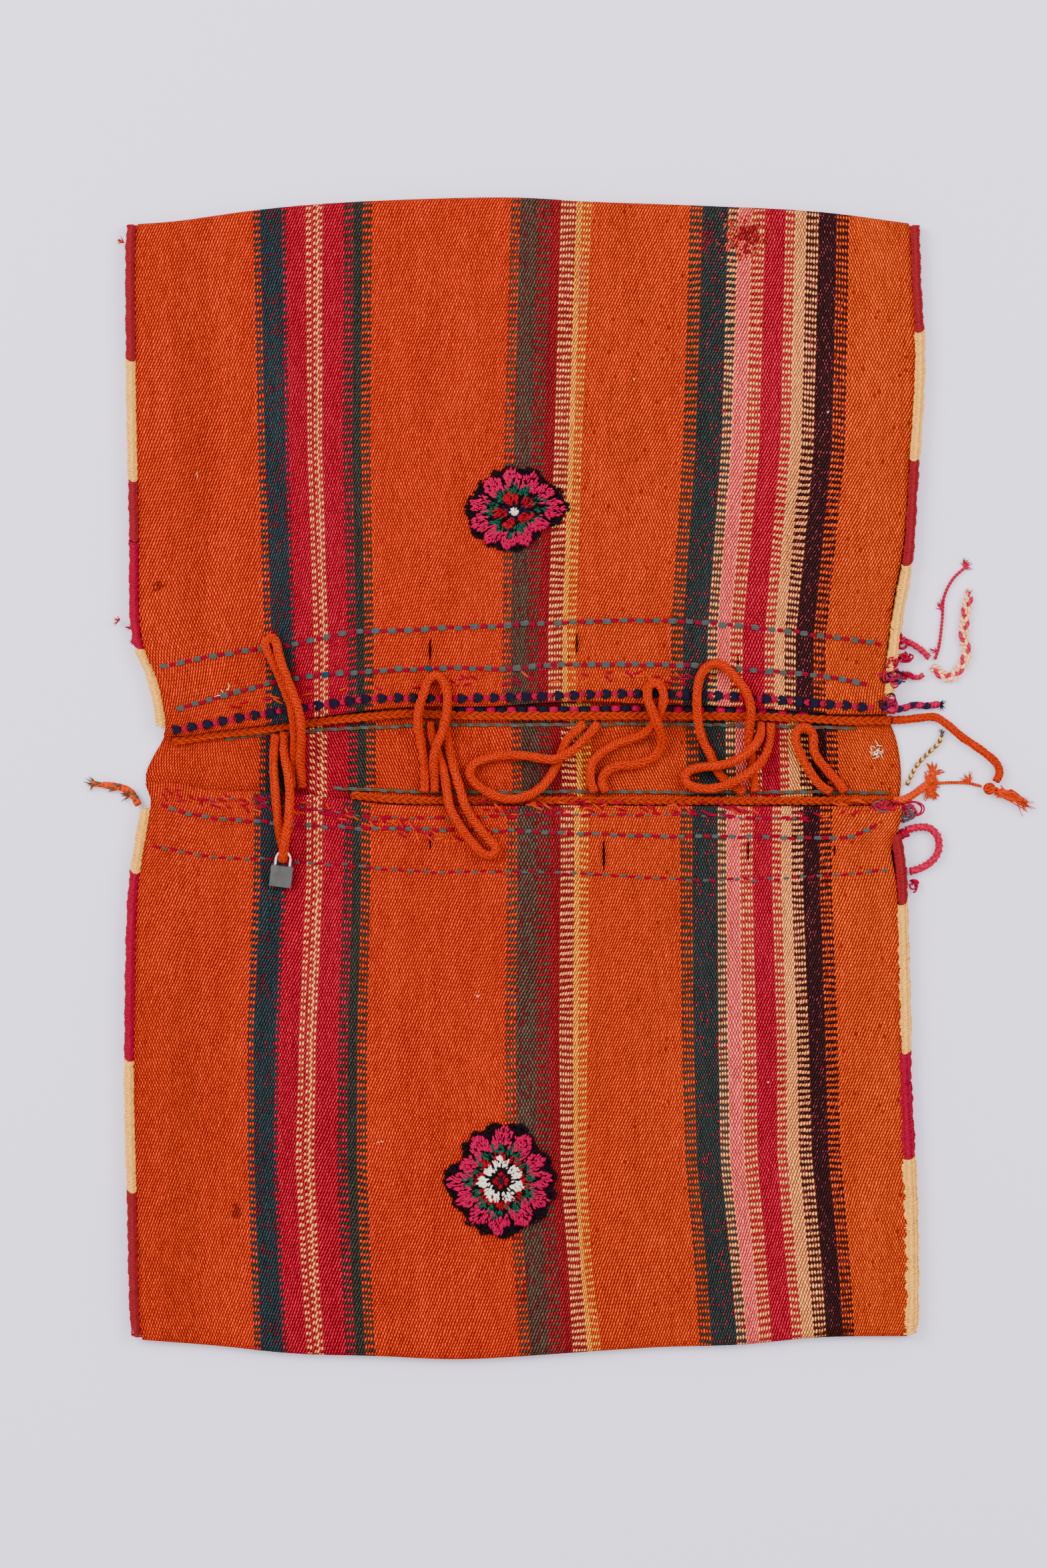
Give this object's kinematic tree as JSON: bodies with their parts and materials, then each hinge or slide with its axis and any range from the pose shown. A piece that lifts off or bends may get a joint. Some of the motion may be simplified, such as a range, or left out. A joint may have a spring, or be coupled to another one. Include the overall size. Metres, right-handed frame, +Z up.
{
  "type": "kilim saddle bag",
  "caption": "Woven saddle bag lying flat, pockets facing each other across a bridge, with braided closing loops, wrapped side edges, tufted rosettes and a small padlock.",
  "frame": {"origin": "centre of the bag's footprint at the floor", "axes": "+X across the bag, +Y along it towards the fold of the upper pocket, +Z up from the floor through the flaps"},
  "size_m": [0.775, 0.9585, 0.0329],
  "materials": {
    "kilim_cloth": "warp-faced plain-weave wool in lengthwise stripes",
    "padlock_steel": "worn dull steel with fine scratches",
    "shackle_steel": "bright plated steel wire",
    "plug_brass": "turned brass key plug",
    "binding_cream": "wool yarn wrapped tightly over the edge",
    "binding_crimson": "wool yarn wrapped tightly over the edge",
    "binding_dark_red": "wool yarn wrapped tightly over the edge",
    "orange_braid": "soft round wool braid",
    "black_pile": "dense cut wool pile",
    "flower_wool": "raised wool tufts in pink, green, red, cream and navy",
    "brown_twist": "plied wool twist in brown and cream",
    "navy_pink_wool": "embroidery wool in navy and pink",
    "grey_red_stitch": "embroidery wool in grey and red",
    "crimson_wool": "wrapped and loose crimson wool"
  },
  "bodies": {
    "bag": {"brown_cream_twist": "brown_twist", "closing_loop_far_left": "orange_braid", "closing_loop_far_right": "orange_braid", "closing_loop_left_arch": "orange_braid", "closing_loop_left_pair": "orange_braid", "closing_loop_middle": "orange_braid", "closing_loop_middle_left": "orange_braid", "closing_loop_right_arch": "orange_braid", "closing_loop_right_crossed": "orange_braid", "crimson_wrapped_ring": "crimson_wool", "left_binding_lower_cream": "binding_cream", "left_binding_lower_cream_long": "binding_cream", "left_binding_lower_crimson": "binding_crimson", "left_binding_lower_red": "binding_dark_red", "left_binding_mouth_cream": "binding_cream", "left_binding_upper_cream": "binding_cream", "left_binding_upper_crimson": "binding_crimson", "left_binding_upper_red": "binding_dark_red", "left_binding_upper_red_short": "binding_dark_red", "left_frayed_tail": "brown_twist", "loose_red_yarn": "crimson_wool", "lower_base_cord": "orange_braid", "lower_bridge_twining": "brown_twist", "lower_flap_row_bottom": "crimson_wool", "lower_flap_row_middle": "crimson_wool", "lower_flap_row_top": "crimson_wool", "lower_orange_tail": "orange_braid", "lower_rosette_flower": "flower_wool", "lower_rosette_pile": "black_pile", "navy_pink_braid": "navy_pink_wool", "padlock_body": "padlock_steel", "padlock_loop": "orange_braid", "red_cream_braid": "binding_cream", "red_wrapped_strap": "crimson_wool", "red_wrapped_strap_lower": "crimson_wool", "right_binding_lower_cream": "binding_cream", "right_binding_lower_cream_long": "binding_cream", "right_binding_lower_crimson": "binding_crimson", "right_binding_lower_red": "binding_dark_red", "right_binding_mouth_cream": "binding_cream", "right_binding_upper_cream": "binding_cream", "right_binding_upper_cream_short": "binding_cream", "right_binding_upper_red": "binding_dark_red", "right_binding_upper_red_lower": "binding_dark_red", "tail_knot": "orange_braid", "tail_tassel": "orange_braid", "thin_orange_cord": "orange_braid", "upper_base_cord": "orange_braid", "upper_bridge_twining": "brown_twist", "upper_flap_chevron_row": "navy_pink_wool", "upper_flap_row_middle": "grey_red_stitch", "upper_flap_row_top": "grey_red_stitch", "upper_orange_tail": "orange_braid", "upper_rosette_flower": "flower_wool", "upper_rosette_pile": "black_pile", "woven_strip": "kilim_cloth"},
    "shackle": {"padlock_shackle": "shackle_steel"},
    "key_plug": {"padlock_key_plug": "plug_brass"}
  },
  "joints": [
    {"name": "shackle_lift", "type": "slide", "parent": "bag", "child": "shackle", "axis": [0.1266, 0.962, 0.2419], "range_m": [0, 0.006]},
    {"name": "key_turn", "type": "hinge", "parent": "bag", "child": "key_plug", "pos_m": [-0.2014, -0.08887, 0.01481], "axis": [0.1266, 0.962, 0.2419], "range_deg": [0, 90]}
  ]
}
